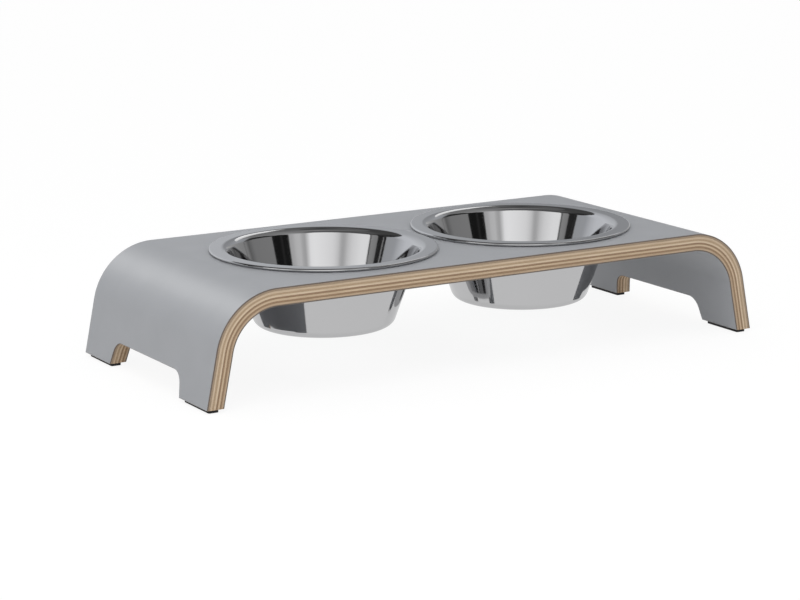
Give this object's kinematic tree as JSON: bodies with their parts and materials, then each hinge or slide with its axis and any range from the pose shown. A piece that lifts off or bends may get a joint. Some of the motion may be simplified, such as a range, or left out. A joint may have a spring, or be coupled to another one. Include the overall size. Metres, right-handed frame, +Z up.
{
  "type": "raised pet feeding station",
  "caption": "Low bench form-pressed from plywood with grey laminate faces and splayed, notched legs, holding lift-out polished steel bowls by their wide flanges.",
  "frame": {"origin": "centre of the footprint, on the floor", "axes": "+X along the bench to its right end, -Y to the front, +Z up"},
  "size_m": [0.52, 0.22, 0.0938],
  "materials": {
    "laminate": "satin",
    "long_grain_veneer": "cut edge",
    "cross_grain_veneer": "cut edge",
    "pad_rubber": "matte",
    "polished_steel": "polished"
  },
  "bodies": {
    "bench": {"top_laminate": "laminate", "veneer_1": "cross_grain_veneer", "veneer_2": "long_grain_veneer", "veneer_3": "cross_grain_veneer", "veneer_4": "long_grain_veneer", "veneer_5": "cross_grain_veneer", "veneer_6": "long_grain_veneer", "veneer_7": "cross_grain_veneer", "veneer_8": "long_grain_veneer", "bottom_laminate": "laminate", "front_left_pad": "pad_rubber", "back_left_pad": "pad_rubber", "front_right_pad": "pad_rubber", "back_right_pad": "pad_rubber"},
    "left_bowl": {"left_bowl": "polished_steel"},
    "right_bowl": {"right_bowl": "polished_steel"}
  },
  "joints": [
    {"name": "left_bowl_lift", "type": "slide", "parent": "bench", "child": "left_bowl", "axis": [0, 0, 1], "range_m": [0, 0.1]},
    {"name": "right_bowl_lift", "type": "slide", "parent": "bench", "child": "right_bowl", "axis": [0, 0, 1], "range_m": [0, 0.1]}
  ]
}
